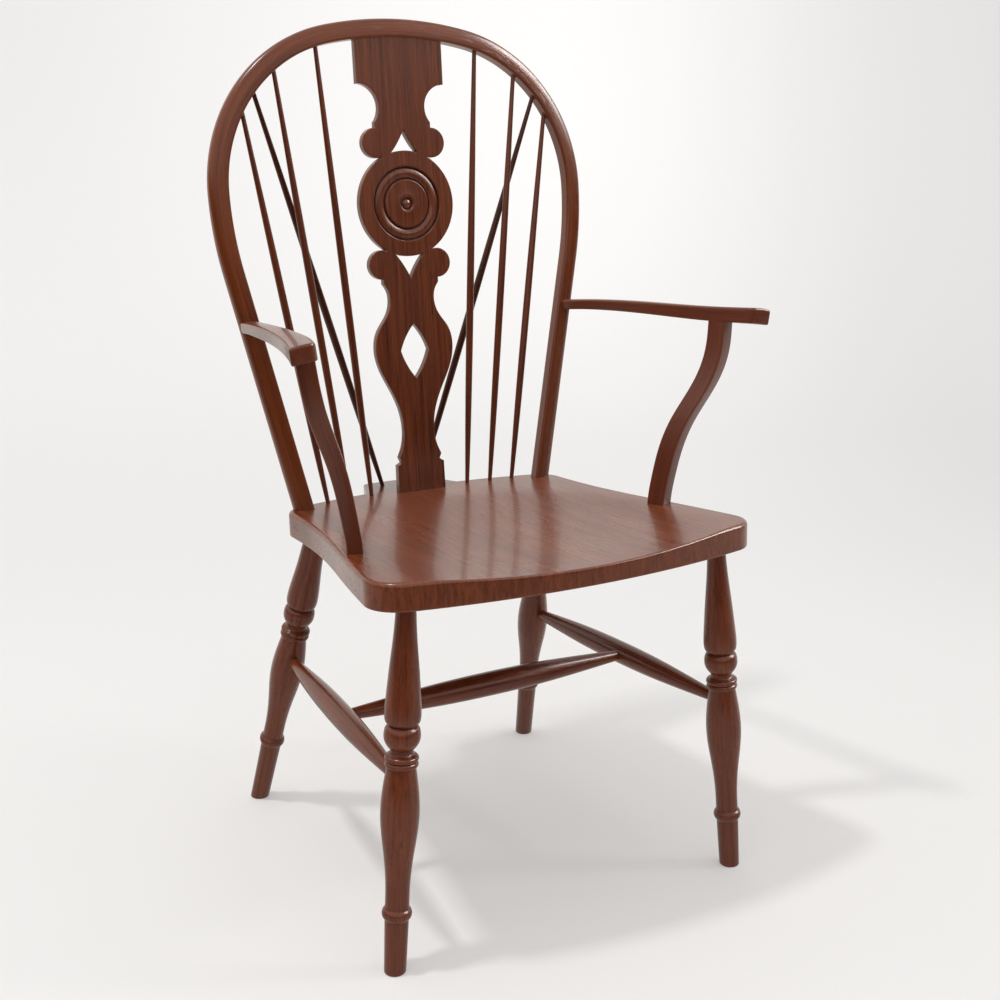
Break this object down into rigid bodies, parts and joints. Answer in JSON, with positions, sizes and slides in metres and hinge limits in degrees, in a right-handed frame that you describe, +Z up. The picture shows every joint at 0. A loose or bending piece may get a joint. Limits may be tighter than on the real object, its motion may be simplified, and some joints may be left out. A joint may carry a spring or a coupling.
{
  "type": "wheelback armchair",
  "caption": "Wooden hoop-back armchair with pierced wheel splat, slender spindles, shaped seat, turned legs and stretchers.",
  "frame": {"origin": "on the floor, under the middle of the chair's bounding box", "axes": "+X to the viewer's right when the chair is seen from the front, +Y to the back, +Z up"},
  "size_m": [0.6104, 0.5228, 1.0253],
  "materials": {
    "seat_wood": "dark reddish-brown stain under a satin-gloss lacquer, grain front to back",
    "bent_wood": "dark reddish-brown stain, satin-gloss, grain along the bend",
    "splat_wood": "dark reddish-brown stain, satin-gloss, upright grain",
    "turned_wood": "dark reddish-brown stain, satin-gloss, grain along the turning",
    "arm_wood": "dark reddish-brown stain, satin-gloss, grain along the piece",
    "dowel_wood": "plain hardwood, stained where it shows",
    "screw_steel": "zinc plated steel"
  },
  "bodies": {
    "root": {"seat": "seat_wood", "bobtail": "seat_wood", "bobtail_dowels": "dowel_wood", "bow": "bent_wood", "splat": "splat_wood", "spindle_left_inner": "turned_wood", "spindle_left_middle": "turned_wood", "spindle_left_outer": "turned_wood", "spindle_right_inner": "turned_wood", "spindle_right_middle": "turned_wood", "spindle_right_outer": "turned_wood", "brace_left": "turned_wood", "brace_right": "turned_wood", "arm_left": "arm_wood", "arm_right": "arm_wood", "arm_post_left": "arm_wood", "arm_post_right": "arm_wood", "leg_front_left": "turned_wood", "leg_front_right": "turned_wood", "leg_back_left": "turned_wood", "leg_back_right": "turned_wood", "side_stretcher_left": "turned_wood", "side_stretcher_right": "turned_wood", "cross_stretcher": "turned_wood", "arm_screws": "screw_steel", "screw_plugs": "dowel_wood"}
  },
  "joints": []
}
